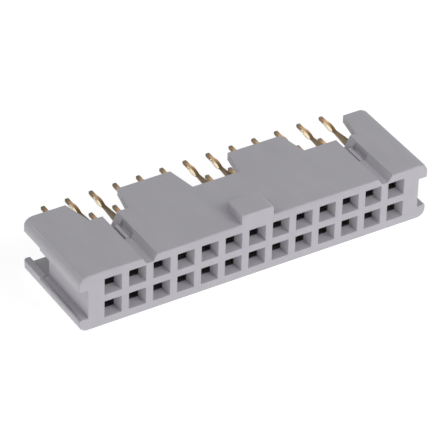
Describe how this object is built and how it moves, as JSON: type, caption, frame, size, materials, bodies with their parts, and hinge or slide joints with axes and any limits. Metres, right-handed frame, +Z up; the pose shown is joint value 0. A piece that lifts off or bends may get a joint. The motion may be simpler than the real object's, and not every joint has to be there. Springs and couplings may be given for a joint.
{
  "type": "socket header",
  "caption": "Straight two-row board socket header with a keyed, notched plastic housing, square pin wells and stamped eye-type board tails.",
  "frame": {"origin": "Centre of the mating face, on the web between the two rows at the middle column.", "axes": "X along the row of wells, Y from the mating face back to the board, Z up through the keyed top face."},
  "size_m": [0.0376, 0.0135, 0.0071],
  "materials": {
    "housing": "light grey moulded polyester, fine matt skin",
    "contact": "stamped copper alloy with gold flash, cut edges slightly darker"
  },
  "bodies": {
    "root": {"housing": "housing", "contact_a01": "contact", "contact_a02": "contact", "contact_a03": "contact", "contact_a04": "contact", "contact_a05": "contact", "contact_a06": "contact", "contact_a07": "contact", "contact_a08": "contact", "contact_a09": "contact", "contact_a10": "contact", "contact_a11": "contact", "contact_a12": "contact", "contact_a13": "contact", "contact_b01": "contact", "contact_b02": "contact", "contact_b03": "contact", "contact_b04": "contact", "contact_b05": "contact", "contact_b06": "contact", "contact_b07": "contact", "contact_b08": "contact", "contact_b09": "contact", "contact_b10": "contact", "contact_b11": "contact", "contact_b12": "contact", "contact_b13": "contact"}
  },
  "joints": []
}
